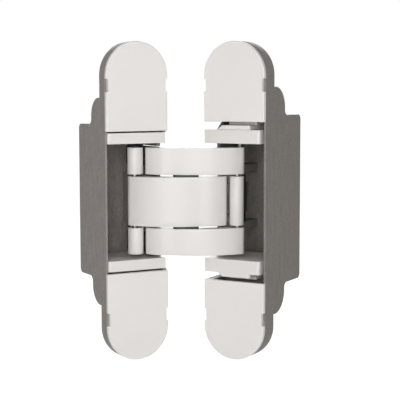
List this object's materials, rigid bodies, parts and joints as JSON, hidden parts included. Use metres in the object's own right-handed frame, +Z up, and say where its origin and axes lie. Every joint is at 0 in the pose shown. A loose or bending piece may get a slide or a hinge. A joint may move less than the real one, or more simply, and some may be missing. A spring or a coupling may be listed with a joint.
{
  "type": "concealed door hinge",
  "caption": "Concealed door hinge: two round-ended recessed bodies joined by an interleaved three-arm linkage that folds into their pockets.",
  "frame": {"origin": "centre of the frame-side faceplate, on the plane of its flange", "axes": "+Z up along the pins, +Y into the frame-side body, +X toward the knuckles and the door side"},
  "size_m": [0.0876, 0.0604, 0.134],
  "materials": {
    "zinc": "raw die casting",
    "cover_paint": "satin",
    "arm_paint": "satin",
    "block_paint": "satin",
    "pin_steel": "ground",
    "screw_steel": "zinc plated",
    "bearing": "moulded"
  },
  "bodies": {
    "frame": {"frame_housing": "zinc", "frame_cover_upper": "cover_paint", "frame_cover_lower": "cover_paint", "frame_block_upper": "block_paint", "frame_block_lower": "block_paint", "frame_root_pin": "pin_steel", "frame_lever_pin": "pin_steel", "frame_setting_screws": "screw_steel", "frame_clamp_screws": "screw_steel", "frame_inner_collars": "bearing", "frame_outer_collars": "bearing"},
    "outer_arms": {"outer_arm_upper": "arm_paint", "outer_arm_lower": "arm_paint", "outer_root_bush_upper": "bearing", "outer_root_bush_lower": "bearing", "centre_bush_upper": "bearing", "centre_bush_lower": "bearing", "outer_end_pin": "pin_steel"},
    "middle_arm_body": {"middle_arm": "arm_paint", "middle_root_bush": "bearing", "centre_pin": "pin_steel", "centre_shim_upper": "arm_paint", "centre_shim_lower": "arm_paint", "middle_end_pin": "pin_steel"},
    "door": {"door_housing": "zinc", "door_cover_upper": "cover_paint", "door_cover_lower": "cover_paint", "door_block_upper": "block_paint", "door_block_lower": "block_paint", "door_slide_plate_upper": "block_paint", "door_slide_plate_lower": "block_paint", "door_root_pin": "pin_steel", "door_lever_pin_upper": "pin_steel", "door_lever_pin_lower": "pin_steel", "door_setting_screws": "screw_steel", "door_clamp_screws": "screw_steel", "door_collars": "bearing"},
    "frame_levers": {"frame_lever_upper": "arm_paint", "frame_lever_lower": "arm_paint"},
    "door_lever_body": {"door_lever": "arm_paint"}
  },
  "joints": [
    {"name": "outer_arms_swing", "type": "hinge", "parent": "frame", "child": "outer_arms", "pos_m": [0.0087, 0.0213, 0], "axis": [0, 0, 1], "range_deg": [-55.61, 25.77]},
    {"name": "arm_cross", "type": "hinge", "parent": "outer_arms", "child": "middle_arm_body", "pos_m": [0.01895, -0.00874, 0], "axis": [0, 0, 1], "range_deg": [-11.78, 5.46]},
    {"name": "door_swing", "type": "hinge", "parent": "middle_arm_body", "child": "door", "pos_m": [0.04973, -0.00098, 0], "axis": [0, 0, 1], "range_deg": [-55.61, 25.77]},
    {"name": "frame_levers_swing", "type": "hinge", "parent": "frame", "child": "frame_levers", "pos_m": [0.009, 0.01525, 0], "axis": [0, 0, 1], "range_deg": [-68.02, 31.52]},
    {"name": "door_lever_swing", "type": "hinge", "parent": "door", "child": "door_lever_body", "pos_m": [0.04449, -0.00402, 0], "axis": [0, 0, -1], "range_deg": [-68.02, 31.52]}
  ],
  "couplings": [
    {"joint": "arm_cross", "follows": "outer_arms_swing", "ratio": 0.2119},
    {"joint": "door_swing", "follows": "outer_arms_swing", "ratio": 1},
    {"joint": "frame_levers_swing", "follows": "outer_arms_swing", "ratio": 1.2232},
    {"joint": "door_lever_swing", "follows": "outer_arms_swing", "ratio": 1.2232}
  ]
}
